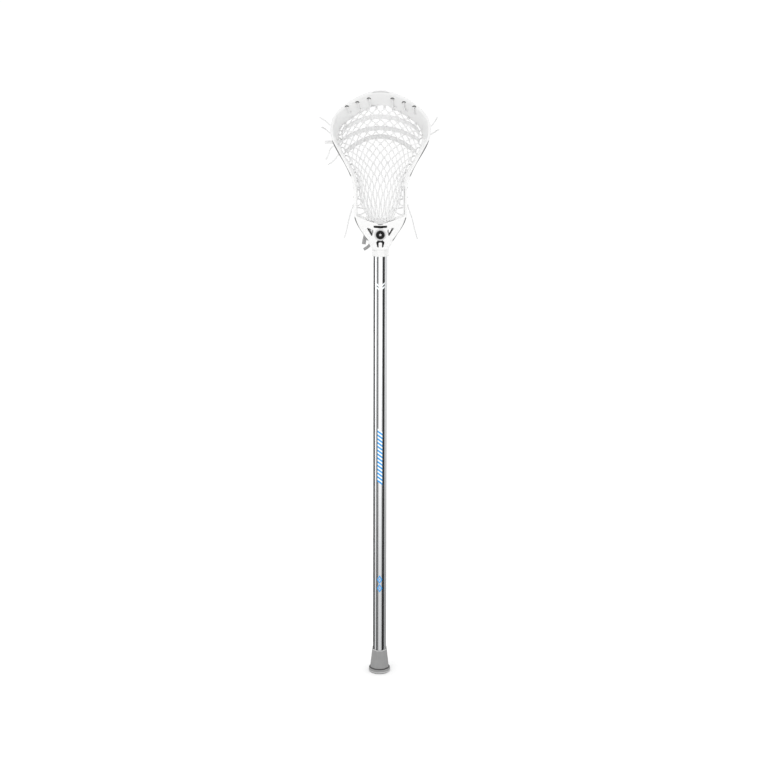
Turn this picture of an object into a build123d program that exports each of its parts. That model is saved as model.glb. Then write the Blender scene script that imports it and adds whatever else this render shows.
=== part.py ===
from build123d import *
import math
import os

# Lacrosse stick. Z runs up the shaft, Y points to the back, -Y is the open catching face.
# The origin is the centre of the butt cap's flat bottom. All sizes are in millimetres.

# Overall
overall_length = 1016.0  # butt face to scoop tip
head_length = 274.0  # open end of the socket to the scoop tip

# Shaft: an octagonal tube with hollow-ground faces
shaft_width = 22.7  # across X
shaft_depth = 27.0  # across Y
shaft_chamfer = 7.0  # legs of each corner face
shaft_wall = 1.3
face_hollow = 0.35  # how far each face dips in
insertion = 47.0  # length of shaft inside the socket

# Butt cap
cap_height = 43.0
cap_floor = 6.0
cap_lip = 0.9  # rubber outside the shaft at the top
cap_waist_half = 16.5  # half width where the taper meets the rim
cap_rim_radius = 18.6
cap_rim_height = 8.0
cap_rim_edge = 2.2  # rounding of the rim
cap_groove = 1.0  # radius of the groove where the taper meets the rim

# Head
wall = 4.6  # rails and scoop
waist_half = 44.4  # outside the rails along the channel
mouth_half = 86.5  # outside, at the widest, where the walls would reach the front plane
front_plane = -24.0  # the scoop's front lip
back_plane = 48.0
socket_wall = 2.2
plate = 3.5  # front and back walls of the throat
throat_half_depth = 16.0
stop_height = 54.0  # top of the ball stop wall above the socket's end, at its middle
stop_wall = 7.5
stop_rise = 0.0082  # the ball stop is a parabola, z = stop_rise * x**2
window_rail = 8.0  # rail left in front of and behind each sidewall window
hole_radius = 1.5  # lacing holes
hole_inset = 4.5  # from the rail's back edge

# Pads, badge and screw
badge_radius = 9.8
badge_thickness = 1.2
badge_height = 37.0  # above the socket's end
slit_half = 11.0
slit_height = 3.0
pad_thickness = 4.0
screw_height = 15.0
screw_radius = 1.7
screw_reach = 12.0
screw_head_radius = 3.4
screw_head_height = 2.2

# Strings
string_radius = 1.15
lace_width = 7.5
lace_thickness = 1.2
net_thickness = 1.8
lace_lift = 1.75  # from the middle of the net to the back of a lace, along Y
pocket_sag = 24.0  # how far the net hangs behind its own edge, at the middle
bend = 1.7  # bend radius of a string where it is laced

# Fits
clearance = 0.2
gap = 0.3

socket_end = overall_length - head_length
shaft_top = socket_end + insertion
half_width, half_depth = shaft_width / 2, shaft_depth / 2

# Outline of the head where its walls would reach the front plane: (half width, height above the
# socket's end).
front_outline = [
    (13.0, 12.0), (29.4, 40.0), (waist_half - 1.2, 66.0), (waist_half, 76.0), (waist_half, 97.0),
    (waist_half + 0.4, 118.0), (50.4, 134.0), (65.3, 163.0), (mouth_half - 5.0, 192.0), (mouth_half, 211.0),
    (mouth_half - 2.5, 228.0), (75.5, 242.0), (64.5, 251.5), (50.0, head_length - 13.5),
    (33.5, head_length - 6.3), (17.0, head_length - 1.6), (0.0, head_length),
]
# The same points at the back plane: the scoop leans back and the walls lean in.
back_outline = [
    (13.0, 12.0), (28.4, 40.0), (waist_half - 3.4, 66.0), (waist_half - 2.4, 76.0),
    (waist_half - 2.4, 97.0), (waist_half - 2.0, 116.0), (46.5, 129.0), (59.0, 151.0),
    (mouth_half - 17.0, 172.0), (mouth_half - 16.0, 190.0), (mouth_half - 23.0, 202.0), (52.5, 208.0),
    (43.0, 211.0), (32.0, 213.0), (21.0, head_length - 60.5), (10.5, head_length - 60.0),
    (0.0, head_length - 60.0),
]
# Side profile: (height above the socket's end, y)
front_edge = [(-2, -15.9), (50, -16.5), (75, -14), (110, -6), (150, -1), (190, -1), (225, -8), (250, -16),
              (head_length + 4, -25)]
back_edge = [(-2, 15.9), (30, 17), (55, 23), (80, 35), (110, 43), (150, 46), (185, 42), (212, 30), (232, 17),
             (245, 5)]

# The net: v runs from the throat, 0, to the scoop, 1, and u across it from -1 to 1.
net_foot, net_top = 58.0, 241.0
net_side = [(0.0, 63.0), (0.2, 92.0), (0.4, 122.0), (0.6, 150.0), (0.8, 178.0), (1.0, 206.0)]
net_margin = [13.5, 4.5, 1.8, 4.0, 4.0, 2.5]  # between the net's edge and the rail
net_inset = 3.4  # from the rail's back edge to the net's edge
net_depth = [(0.0, 0.0), (0.15, 0.62), (0.35, 1.0), (0.55, 0.86), (0.8, 0.4), (1.0, 0.0)]
lace_share = 0.985  # of the net's width that a lace covers
net_half = []  # filled by fit_net

# Openings of the head, each by its height above the socket's end
side_windows = [(72.0, 104.0), (111.0, 146.0), (153.0, 190.0)]
rail_holes = [64.0, 78.0, 92.0, 107.5, 122.0, 136.0, 149.5, 163.0, 177.0, 193.5, 206.0]
scoop_thickness = 3.6
slot_to_edge = 17.0  # from a slot down to the scoop's lower edge
scoop_slots = [(-54.3, 246.3), (-37.6, 253.0), (-19.0, 259.0), (19.0, 259.0), (37.6, 253.0), (54.3, 246.3)]

# Laces, knots and loose ends
# Each lace lies at one v in the middle of the net and another at its ends.
laces = {"upper": (0.922, 0.97), "middle": (0.811, 0.85), "lower": (0.728, 0.71)}
knot_radius = 2.4
# Each knot's side and lacing hole.
knots = {
    "top_left": (-1, 10), "top_right": (1, 10), "upper_left": (-1, 9), "upper_right": (1, 9),
    "middle_left": (-1, 8), "lower_left": (-1, 7), "side_left": (-1, 1), "side_right": (1, 1),
}
# Loose ends, from the knot outwards.
tails = {
    "top_left": [(-82.0, 29.0, 952.5), (-88.0, 29.5, 958.0), (-93.5, 28.0, 962.5), (-99.5, 26.0, 966.0)],
    "top_right": [(82.0, 29.0, 951.0), (87.0, 31.5, 956.0), (91.0, 29.0, 962.5), (93.0, 23.5, 967.5)],
    "upper_left": [(-80.5, 37.5, 937.5), (-86.0, 41.5, 941.0), (-91.0, 39.5, 945.5), (-94.5, 33.5, 948.5),
                   (-97.0, 27.5, 949.5)],
    "upper_right": [(81.0, 37.5, 936.5), (86.5, 41.5, 938.5), (91.0, 39.5, 942.0), (94.0, 33.5, 945.0),
                    (96.5, 27.5, 946.0)],
    "middle_left": [(-79.0, 42.0, 916.5), (-83.5, 46.5, 911.5), (-85.5, 46.0, 905.0), (-87.5, 40.5, 899.5),
                    (-90.0, 34.0, 896.0)],
    "lower_left": [(-70.5, 44.5, 901.0), (-74.5, 49.0, 895.5), (-79.0, 48.5, 890.5), (-83.0, 43.0, 888.0),
                   (-86.5, 37.0, 887.0)],
    "side_left": [(-48.5, 30.0, 811.0), (-51.5, 28.5, 800.0), (-54.5, 28.0, 788.0), (-56.5, 27.0, 776.0),
                  (-60.5, 26.5, 765.5)],
    "side_right": [(48.5, 30.0, 810.0), (53.0, 29.0, 799.0), (55.5, 28.0, 787.0), (58.5, 27.0, 775.5),
                   (62.0, 26.5, 764.5)],
}
# Flat lace ends: width, then the route.
flat_tails = {
    "lace_tail": (5.2, [(-65.3, 31.6, 926.0), (-73.5, 28.0, 924.5), (-82.5, 26.0, 926.0),
                        (-91.5, 26.5, 925.0)]),
    "throat_tail_long": (6.6, [(-8.0, 25.3, 796.0), (-15.0, 25.1, 788.0), (-20.5, 24.0, 778.0),
                               (-26.0, 22.8, 768.0), (-27.5, 21.5, 756.5)]),
    "throat_tail_short": (5.0, [(-17.0, 23.2, 779.0), (-16.5, 22.0, 771.0), (-14.5, 21.2, 763.5),
                                (-16.5, 20.8, 756.5), (-21.5, 21.3, 751.0), (-27.5, 22.3, 747.5)]),
}


def smooth(knots, t):
    """The value at t on a smooth curve through (t, value) knots."""
    t = min(max(t, knots[0][0]), knots[-1][0])
    i = max(k for k in range(len(knots) - 1) if knots[k][0] <= t)
    (t0, a), (t1, b) = knots[i], knots[i + 1]
    before, after = knots[max(i - 1, 0)], knots[min(i + 2, len(knots) - 1)]
    slope_a = (b - before[1]) / (t1 - before[0]) * (t1 - t0)
    slope_b = (after[1] - a) / (after[0] - t0) * (t1 - t0)
    s = (t - t0) / (t1 - t0)
    return (
        a * (2 * s**3 - 3 * s**2 + 1) + slope_a * (s**3 - 2 * s**2 + s)
        + b * (3 * s**2 - 2 * s**3) + slope_b * (s**3 - s**2)
    )


def octagon(grow=0.0, hollow=0.0):
    """The shaft's section as a face on XY, with its faces dipped in by hollow."""
    w, d = half_width + grow, half_depth + grow
    c = shaft_chamfer + grow * (2 - math.sqrt(2))
    corners = [(w, -d + c), (w, d - c), (w - c, d), (c - w, d), (-w, d - c), (-w, c - d), (c - w, -d),
               (w - c, -d)]
    if hollow == 0:
        return make_face(Polyline(*corners, close=True))
    sides = []
    for a, b in zip(corners, corners[1:] + corners[:1]):
        middle = Vector((a[0] + b[0]) / 2, (a[1] + b[1]) / 2)
        dipped = middle - middle.normalized() * hollow
        sides.append(ThreePointArc(a, dipped, b))
    return make_face(sides)


def make_shaft():
    outside = extrude(Pos(0, 0, cap_floor) * octagon(0, face_hollow), shaft_top - cap_floor)
    edges = [e for e in outside.edges().filter_by(Axis.Z)]
    outside = fillet(edges, 1.0)
    bore = extrude(Pos(0, 0, cap_floor) * octagon(-shaft_wall - face_hollow), shaft_top - cap_floor)
    hole = Pos(0, half_depth / 2, socket_end + screw_height) * Rot(90, 0, 0) * Cylinder(
        screw_radius + 0.05, half_depth * 2)
    return outside - bore - Pos(0, half_depth, 0) * hole


def make_butt_cap():
    top = fillet(octagon(cap_lip).vertices(), 2.0)
    reach = cap_waist_half
    corner = reach * (2 - math.sqrt(2))
    ring = [(reach, corner - reach), (reach, reach - corner), (reach - corner, reach), (corner - reach, reach),
            (-reach, reach - corner), (-reach, corner - reach), (corner - reach, -reach),
            (reach - corner, -reach)]
    bottom = fillet(make_face(Polyline(*ring, close=True)).vertices(), 8.0)
    taper = loft([Pos(0, 0, cap_rim_height - 3) * bottom, Pos(0, 0, cap_height) * top])
    rim = Pos(0, 0, cap_rim_height / 2) * Cylinder(cap_rim_radius, cap_rim_height)
    rim = fillet(rim.edges().filter_by(GeomType.CIRCLE), cap_rim_edge)
    groove = Pos(0, 0, cap_rim_height) * Torus(cap_waist_half + 0.2, cap_groove)
    recess = extrude(Pos(0, 0, cap_floor - gap) * octagon(clearance), cap_height)
    return taper + rim - recess - groove


def outline_wire(points, y, inset=0.0):
    """A closed face in the plane at y, with each outline point moved inwards by inset."""
    moved = []
    for i, (x, z) in enumerate(points):
        ahead = points[min(i + 1, len(points) - 1)]
        behind = points[max(i - 1, 0)]
        along = Vector(ahead[0] - behind[0], ahead[1] - behind[1]).normalized()
        if i == len(points) - 1:
            along = Vector(-1, 0)
        moved.append((x - along.Y * inset, z + along.X * inset))
    place = Plane(origin=(0, y, socket_end), x_dir=(1, 0, 0), z_dir=(0, -1, 0))
    right = Spline(*moved, tangents=[(0.5, 1), (-1, 0)])
    left = Spline(*[(-x, z) for x, z in moved], tangents=[(-0.5, 1), (1, 0)])
    foot = Line((-moved[0][0], moved[0][1]), (moved[0][0], moved[0][1]))
    return place * make_face([foot, right, left])


def shell_between(inset):
    return loft([outline_wire(front_outline, front_plane, inset), outline_wire(back_outline, back_plane, inset)],
                ruled=True)


def side_cut():
    """The side profile of the head as a solid, right across its width."""
    front = [(y, z) for z, y in front_edge]
    back = [(y, z) for z, y in back_edge]
    place = Plane(origin=(0, 0, socket_end), x_dir=(0, 1, 0), z_dir=(1, 0, 0))
    tip = [back[-1], (back[-1][0] + 14, back[-1][1] + 14), (back[-1][0], front[-1][1] + 8), front[-1]]
    profile = make_face([Spline(*front), Spline(*back), Polyline(*tip), Line(front[0], back[0])])
    return extrude(place * profile, mouth_half + 20, both=True)


def side_window(low, high):
    """The cut for a window through both sidewalls between two heights above the socket's end."""
    rail = window_rail
    corners = [(smooth(front_edge, low) + rail, low), (smooth(front_edge, high) + rail, high),
               (smooth(back_edge, high) - rail, high), (smooth(back_edge, low) - rail, low)]
    place = Plane(origin=(0, 0, socket_end), x_dir=(0, 1, 0), z_dir=(1, 0, 0))
    shape = make_face(Polyline(*corners, close=True))
    return extrude(place * fillet(shape.vertices(), 4.5), mouth_half + 20, both=True)


def stop_line(x):
    """Height of the ball stop's top above the socket's end."""
    return stop_height + stop_rise * x * x


def stop_strip(half, top, thickness, y0, y1):
    """A strip that follows the ball stop's curve, top below its top surface."""
    place = Plane(origin=(0, y0, socket_end), x_dir=(1, 0, 0), z_dir=(0, -1, 0))
    high, low = [
        ThreePointArc((-half, stop_line(half) - drop), (0, stop_height - drop), (half, stop_line(half) - drop))
        for drop in (top, top + thickness)
    ]
    ends = [Line(high @ 0, low @ 0), Line(high @ 1, low @ 1)]
    return extrude(place * make_face([high, low, *ends]), y0 - y1)


def front_cut(points, y0, y1):
    """A prism along Y from outline points (x, height above the socket's end)."""
    place = Plane(origin=(0, y0, socket_end), x_dir=(1, 0, 0), z_dir=(0, -1, 0))
    return extrude(place * make_face(Polyline(*points, close=True)), y0 - y1)


def make_throat(outside):
    """Ball stop wall, front and back plates, and the socket around the shaft's end."""
    deep = throat_half_depth
    body = [(-waist_half, stop_line(waist_half) - 1), (0, stop_height - 1), (waist_half, stop_line(waist_half) - 1),
            (0, -40)]
    plates = front_cut(body, -deep, -deep + plate) + front_cut(body, deep - plate, deep)
    for side in (-1, 1):
        window = [(side * 23.0, 49.5), (side * 11.2, 44.5), (side * 13.8, 34.0)]
        plates -= front_cut(window, -deep - 1, deep + 1)
    stop = stop_strip(waist_half + 4, 0, stop_wall, -deep, smooth(back_edge, stop_height) - 1)
    throat = (plates + stop) & outside
    socket = extrude(Pos(0, 0, socket_end) * octagon(clearance + socket_wall), insertion + gap + 2)
    boss = Pos(0, deep, socket_end + screw_height) * Rot(90, 0, 0) * Cylinder(5.5, 4)
    return throat + socket + boss


def make_tongue_slot():
    """The arched slot round the tongue in the socket's front wall."""
    low, high, outer, inner = 16.0, 27.6, 6.5, 2.8
    arch = [(-outer + 2.2, low), (-outer, high - 3), (-outer + 3, high), (outer - 3, high), (outer, high - 3),
            (outer - 2.2, low), (inner, low), (inner + 0.4, high - 4), (inner - 1, high - 2.6),
            (1 - inner, high - 2.6), (-inner - 0.4, high - 4), (-inner, low)]
    return front_cut(arch, -throat_half_depth - 2, -half_depth + 3)


def make_string_holes(rails):
    """Lacing holes across the back rails, and slots through the scoop."""
    cuts = []
    for height in rail_holes:
        y = smooth(back_edge, height) - hole_inset
        cuts.append(Pos(0, y, socket_end + height) * Rot(0, 90, 0) * Cylinder(hole_radius, 2 * mouth_half + 10))
    for x, height in scoop_slots:
        cuts.append(scoop_plane(rails, x, height) * extrude(SlotOverall(6.4, 2.8), 5, both=True))
    return cuts


def scoop_plane(rails, x, height):
    """A plane in the middle of the scoop's wall: z out to the back, y down the scoop."""
    ray = Line((x, -60, socket_end + height), (x, 60, socket_end + height))
    hits = sorted((v for e in (ray & rails).edges() for v in e.vertices()), key=lambda v: v.Y)
    outer = Vector(hits[-1])
    face = min(rails.faces(), key=lambda f: f.distance_to(hits[-1]))
    normal = face.normal_at(outer)
    middle = (Vector(hits[0]) + outer) / 2
    across = Vector(1, 0, 0) - normal * normal.X
    return Plane(origin=middle, x_dir=across, z_dir=normal)


def make_rails():
    """The outer form of the head, and the walls that lie between it and its inner form."""
    outside = shell_between(0)
    return outside, (outside - shell_between(wall)) & side_cut()


def make_head(outside, rails):
    head = rails + (make_throat(outside) & side_cut())
    for low, high in side_windows:
        head -= side_window(low, high)
    head -= extrude(Pos(0, 0, socket_end - 5) * octagon(clearance), insertion + gap + 5)
    head -= make_tongue_slot()
    head -= stop_strip(slit_half, 2.6, slit_height, -throat_half_depth - 1, -throat_half_depth + 7)
    head -= stop_strip(slit_half, -4, pad_thickness + 4, -throat_half_depth + plate, 14)
    notch = 1.8
    head -= front_cut([(-notch, -1), (0, notch), (notch, -1)], -throat_half_depth - 3, throat_half_depth + 3)
    badge_place = Pos(0, -throat_half_depth, socket_end + badge_height) * Rot(90, 0, 0)
    head -= badge_place * Cylinder(badge_radius + clearance, 2 * badge_thickness)
    screw_place = Pos(0, 0, socket_end + screw_height) * Rot(-90, 0, 0)
    head -= screw_place * extrude(Circle(screw_radius + 0.1), throat_half_depth + 6)
    seat = throat_half_depth + 2 - screw_head_height
    head -= screw_place * extrude(Pos(0, 0, seat) * Circle(screw_head_radius + gap), 10)
    for cut in make_string_holes(rails):
        head -= cut
    return head


def make_ball_stop_pad():
    front = -throat_half_depth + plate + gap
    strip = stop_strip(slit_half - gap, -1.2, pad_thickness + 1.2 - gap, front, 14 - gap)
    tab = stop_strip(slit_half - gap, 2.6 + gap, slit_height - 2 * gap, -throat_half_depth + 0.5, front + 3)
    return strip + tab


def make_badge():
    place = Pos(0, -throat_half_depth + badge_thickness, socket_end + badge_height) * Rot(90, 0, 0)
    disc = extrude(Circle(badge_radius), badge_thickness)
    disc = chamfer(disc.edges().filter_by(GeomType.CIRCLE).sort_by(Axis.Z)[-1], 0.4)
    ring = extrude(Pos(0, 0, badge_thickness - 0.3) * (Circle(badge_radius - 1.6) - Circle(badge_radius - 2.4)), 1)
    return place * (disc - ring)


def make_screw():
    seat = throat_half_depth + 2 - screw_head_height
    place = Pos(0, 0, socket_end + screw_height) * Rot(-90, 0, 0)
    head = extrude(Pos(0, 0, seat + gap) * Circle(screw_head_radius), screw_head_height)
    head = fillet(head.edges().filter_by(GeomType.CIRCLE).sort_by(Axis.Z)[-1], 1.2)
    shank = extrude(Pos(0, 0, seat - screw_reach) * Circle(screw_radius), screw_reach + 1)
    drive = Pos(0, 0, seat + gap + screw_head_height) * (Box(4, 0.9, 2) + Box(0.9, 4, 2))
    return place * (head + shank - drive)


def wall_span(solid, y, height):
    """The inner and outer x of the right sidewall at a depth and height, from the solid itself."""
    ray = Line((0, y, socket_end + height), (mouth_half + 30, y, socket_end + height))
    hits = [v.X for e in (ray & solid).edges() for v in e.vertices()]
    return min(hits), max(hits)




def fit_net(rails):
    """Sets the net's half widths so that its edges lie beside the rails."""
    for (v, height), margin in zip(net_side, net_margin):
        inner, outer = wall_span(rails, smooth(back_edge, height) - net_inset, height)
        net_half.append((v, inner - margin))


def net_point(u, v, lift=0.0):
    """A point on the middle of the net, moved towards the front by lift."""
    middle = net_foot + (net_top - net_foot) * v
    height = middle + (smooth(net_side, v) - middle) * u * u
    edge = smooth(back_edge, smooth(net_side, v)) - net_inset
    base = edge + (4.0 - edge) * v**3 * (1 - u * u)
    y = base + pocket_sag * smooth(net_depth, v) * (1 - u * u)
    return Vector(u * smooth(net_half, v), y - lift, socket_end + height)


def skin(grid, thickness):
    """A thin closed solid round a smooth surface through a grid of points."""
    surface = Face.make_surface_from_array_of_points(grid)
    return Solid.thicken(surface, thickness)


def make_net():
    rows = [[net_point(i / 8 - 1, j / 18, -net_thickness / 2) for i in range(17)] for j in range(19)]
    return skin(rows, -net_thickness)


def lace_end():
    """Where the middle lace's left end is free, just past the lace."""
    end = net_point(-lace_share, laces["middle"][1], lace_lift + lace_thickness / 2)
    return (end.X - 2 * gap, end.Y - gap, end.Z)


def make_lace(v_middle, v_end):
    """A flat lace woven across the net, on its front side."""
    half_band = lace_width / 2 / (net_top - net_foot)
    lift = lace_lift
    rows = []
    for edge in (-1.0, -0.33, 0.33, 1.0):
        row = []
        for i in range(17):
            u = (i / 8 - 1) * lace_share
            v = v_middle + (v_end - v_middle) * u * u + edge * half_band
            row.append(net_point(u, v, lift))
        rows.append(row)
    return skin(rows, -lace_thickness)


def swept(points, bends, section):
    """A section on XY swept along straight runs joined by tangent arcs."""
    path = FilletPolyline(*points, radius=bends)
    start = Plane(origin=path @ 0, x_dir=(0, 1, 0), z_dir=path % 0)
    return sweep(start * section, path=path)


def bends_of(points):
    """The largest radius that each corner's two runs allow."""
    corners = [Vector(*p) for p in points]
    radii = []
    for a, b, c in zip(corners, corners[1:], corners[2:]):
        turn = math.radians((b - a).get_angle(c - b))
        radii.append(0.45 * min((b - a).length, (c - b).length) / math.tan(turn / 2))
    return radii


def lacing_route(side, spans):
    """Sidewall lacing: in through a hole, to the net's edge, round the rail, and on to the next hole."""
    away = string_radius + 0.9
    points = []
    for i, height in enumerate(rail_holes):
        inner, outer = spans[i]
        y, z = smooth(back_edge, height) - hole_inset, socket_end + height
        points += [(side * (outer + away), y, z), (side * (inner - away), y, z)]
        if i == len(rail_holes) - 1:
            break
        catch = net_point(side, (i + 0.5) / (len(rail_holes) - 1))
        points.append((catch.X - side * 0.5, catch.Y + 1.0, catch.Z))
        behind, z = smooth(back_edge, rail_holes[i + 1]) + away, socket_end + rail_holes[i + 1]
        points.append((side * (spans[i + 1][0] + 0.5), behind, z - 4))
        points.append((side * (spans[i + 1][1] + away), behind - 0.8, z - 2))
    return points


def top_route(rails):
    """The top string: up behind the scoop, through a slot, and down its front to the net."""
    away = scoop_thickness / 2 + string_radius + 0.7
    points = []
    for x, height in scoop_slots:
        place = scoop_plane(rails, x, height)
        run = slot_to_edge + 3
        for across, down, out in ((-2.6, run, away), (0, 0, away), (0, 0, -away), (2.6, run, -away)):
            points.append(place.from_local_coords(Vector(across, down, out)))
    return points


def bottom_route():
    """The bottom string runs along the net's foot, just behind the ball stop wall."""
    y = smooth(back_edge, stop_height) - 1 + string_radius + gap
    rise = [(-27.0, 3.4), (-18.0, 0.6), (-9.0, 0.4), (0.0, -0.4), (9.0, 0.4), (18.0, 0.6), (27.0, 3.4)]
    return [(x, y, socket_end + net_foot - string_radius - gap + dz) for x, dz in rise]


def knot_places(spans):
    """Centres of the knots that stop the strings outside the rails, by name."""
    places = {}
    for name, (side, index) in knots.items():
        height = rail_holes[index]
        x = side * (spans[index][1] + knot_radius + gap)
        places[name] = (x, smooth(back_edge, height) - hole_inset, socket_end + height)
    return places




def main():
    os.makedirs("parts", exist_ok=True)
    outside, rails = make_rails()
    fit_net(rails)
    spans = [wall_span(rails, smooth(back_edge, h) - hole_inset, h) for h in rail_holes]
    nodes = {
        "shaft": make_shaft(),
        "butt_cap": make_butt_cap(),
        "head_frame": make_head(outside, rails),
        "ball_stop_pad": make_ball_stop_pad(),
        "throat_badge": make_badge(),
        "head_screw": make_screw(),
        "net": make_net(),
    }
    for name, (middle, end) in laces.items():
        nodes[f"shooting_lace_{name}"] = make_lace(middle, end)
    cord = Circle(string_radius)
    for name, side in (("left", -1), ("right", 1)):
        nodes[f"sidewall_string_{name}"] = swept(lacing_route(side, spans), bend, cord)
    nodes["top_string"] = swept(top_route(rails), bend, cord)
    nodes["bottom_string"] = swept(bottom_route(), bends_of(bottom_route()), cord)
    places = knot_places(spans)
    nodes["string_knots"] = Compound([Pos(*p) * Sphere(knot_radius) for p in places.values()])
    for name, route in tails.items():
        points = [places[name], *route]
        bends = bends_of(points)
        nodes[f"string_tail_{name}"] = swept(points, bends, cord)
        print(name, "bends", [round(b, 1) for b in bends])
    flat_tails["lace_tail"][1].insert(0, lace_end())
    for name, (width, route) in flat_tails.items():
        nodes[name] = swept(route, bends_of(route), Rectangle(lace_thickness, width))
    for name, shape in nodes.items():
        export_step(shape, f"parts/{name}.step")
        print(name, len(shape.solids()), round(shape.volume))
    print("net half widths", [(v, round(x, 1)) for v, x in net_half])
    print("rail spans", [(round(a, 1), round(b, 1)) for a, b in spans])


if __name__ == "__main__":
    main()
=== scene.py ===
import math
import bpy
from mathutils import Matrix, Vector


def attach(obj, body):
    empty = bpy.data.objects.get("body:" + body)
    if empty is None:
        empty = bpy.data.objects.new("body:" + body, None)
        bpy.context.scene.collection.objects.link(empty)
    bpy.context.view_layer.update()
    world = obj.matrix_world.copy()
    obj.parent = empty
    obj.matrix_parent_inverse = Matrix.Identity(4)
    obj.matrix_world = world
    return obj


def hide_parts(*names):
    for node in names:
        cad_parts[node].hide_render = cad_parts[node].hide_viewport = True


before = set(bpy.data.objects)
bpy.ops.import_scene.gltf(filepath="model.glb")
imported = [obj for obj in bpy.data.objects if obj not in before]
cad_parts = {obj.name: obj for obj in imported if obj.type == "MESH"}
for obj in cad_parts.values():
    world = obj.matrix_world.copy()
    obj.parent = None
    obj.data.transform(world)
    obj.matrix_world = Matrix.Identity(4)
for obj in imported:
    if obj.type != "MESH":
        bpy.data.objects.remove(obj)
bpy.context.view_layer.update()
mm = 0.001


# Small helpers for working with objects.
def only(item):
    bpy.ops.object.select_all(action="DESELECT")
    item.select_set(True)
    bpy.context.view_layer.objects.active = item


def modify(item, kind, **settings):
    modifier = item.modifiers.new(kind.title(), kind)
    for key, value in settings.items():
        setattr(modifier, key, value)
    only(item)
    bpy.ops.object.modifier_apply(modifier=modifier.name)


def smoothShade(item, angle=None):
    only(item)
    if angle is None:
        bpy.ops.object.shade_smooth()
    else:
        bpy.ops.object.shade_smooth_by_angle(angle=math.radians(angle))


def dress(item, material, body, slot, *nodes):
    item.data.materials.clear()
    item.data.materials.append(material)
    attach(item, body)
    if nodes:
        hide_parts(*nodes)


def copyOfNode(node, name):
    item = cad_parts[node].copy()
    item.data = item.data.copy()
    item.name = name
    item.parent = None
    for key in [k for k in item.keys() if k.startswith("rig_")]:
        del item[key]
    bpy.context.scene.collection.objects.link(item)
    only(item)
    bpy.ops.mesh.customdata_custom_splitnormals_clear()
    bpy.ops.object.mode_set(mode="EDIT")
    bpy.ops.mesh.select_all(action="SELECT")
    bpy.ops.mesh.remove_doubles(threshold=2e-6)
    bpy.ops.object.mode_set(mode="OBJECT")
    return item


def joined(items, name):
    bpy.ops.object.select_all(action="DESELECT")
    for item in items:
        item.select_set(True)
    bpy.context.view_layer.objects.active = items[0]
    bpy.ops.object.join()
    items[0].name = name
    return items[0]


# A node's output, so that shader maths is written as an expression.
class Wire:
    def __init__(self, sheet, item, out):
        self.sheet, self.item = sheet, item
        self.socket = item.outputs[out] if len(item.outputs) else None

    def out(self, name):
        return Wire(self.sheet, self.item, name)

    def math(self, operation, *others, swap=False):
        values = [self, *others]
        if swap:
            values.reverse()
        return self.sheet.node("ShaderNodeMath", {"operation": operation}, dict(enumerate(values)))

    def __add__(self, other): return self.math("ADD", other)
    def __radd__(self, other): return self.math("ADD", other)
    def __sub__(self, other): return self.math("SUBTRACT", other)
    def __rsub__(self, other): return self.math("SUBTRACT", other, swap=True)
    def __mul__(self, other): return self.math("MULTIPLY", other)
    def __rmul__(self, other): return self.math("MULTIPLY", other)
    def __truediv__(self, other): return self.math("DIVIDE", other)
    def __pow__(self, other): return self.math("POWER", other)
    def __lt__(self, other): return self.math("LESS_THAN", other)
    def __gt__(self, other): return self.math("GREATER_THAN", other)
    def __abs__(self): return self.math("ABSOLUTE")
    def sine(self): return self.math("SINE")
    def cosine(self): return self.math("COSINE")
    def fraction(self): return self.math("FRACT")
    def least(self, other): return self.math("MINIMUM", other)
    def most(self, other): return self.math("MAXIMUM", other)

    def ramp(self, low, high, start=0.0, end=1.0):
        return self.sheet.node("ShaderNodeMapRange", {"interpolation_type": "SMOOTHSTEP"},
                               {0: self, 1: low, 2: high, 3: start, 4: end})


class Sheet:
    def __init__(self, tree):
        self.tree = tree
        tree.nodes.clear()

    def node(self, kind, settings=None, inputs=None, out=0):
        item = self.tree.nodes.new(kind)
        for key, value in (settings or {}).items():
            setattr(item, key, value)
        for key, value in (inputs or {}).items():
            if isinstance(value, Wire):
                self.tree.links.new(value.socket, item.inputs[key])
            else:
                item.inputs[key].default_value = value
        return Wire(self, item, out)

    def place(self):
        split = self.node("ShaderNodeSeparateXYZ", {}, {0: self.node("ShaderNodeTexCoord", out="Object")})
        return split, split.out("Y"), split.out("Z")

    def along(self):
        split = self.node("ShaderNodeSeparateXYZ", {}, {0: self.node("ShaderNodeTexCoord", out="UV")})
        return split, split.out("Y")

    def noise(self, scale, detail=3.0, stretch=(1, 1, 1)):
        spread = self.node("ShaderNodeMapping", {}, {
            "Vector": self.node("ShaderNodeTexCoord", out="Object"), "Scale": stretch})
        return self.node("ShaderNodeTexNoise", {}, {"Vector": spread, "Scale": scale, "Detail": detail})

    def angle(self, across, ahead):
        return self.node("ShaderNodeMath", {"operation": "ARCTAN2"}, {0: across, 1: ahead})

    def cells(self, scale, settings=None):
        return self.node("ShaderNodeTexVoronoi", settings, {
            "Vector": self.node("ShaderNodeTexCoord", out="Object"), "Scale": scale})

    def blend(self, factor, low, high):
        return self.node("ShaderNodeMix", {"data_type": "RGBA"}, {0: factor, 6: low, 7: high}, out=2)

    def bump(self, height, distance, strength=1.0):
        return self.node("ShaderNodeBump", {}, {"Height": height, "Distance": distance, "Strength": strength})


def makeMaterial(name, paint, constants):
    material = bpy.data.materials.new(name)
    material.use_nodes = True
    sheet = Sheet(material.node_tree)
    shader = sheet.node("ShaderNodeBsdfPrincipled", {}, {**constants, **paint(sheet)})
    sheet.node("ShaderNodeOutputMaterial", {}, {"Surface": shader})
    return material


def grey(value):
    return (value, value, value, 1.0)


def within(value, low, high):
    return (value > low) * (value < high)


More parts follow.
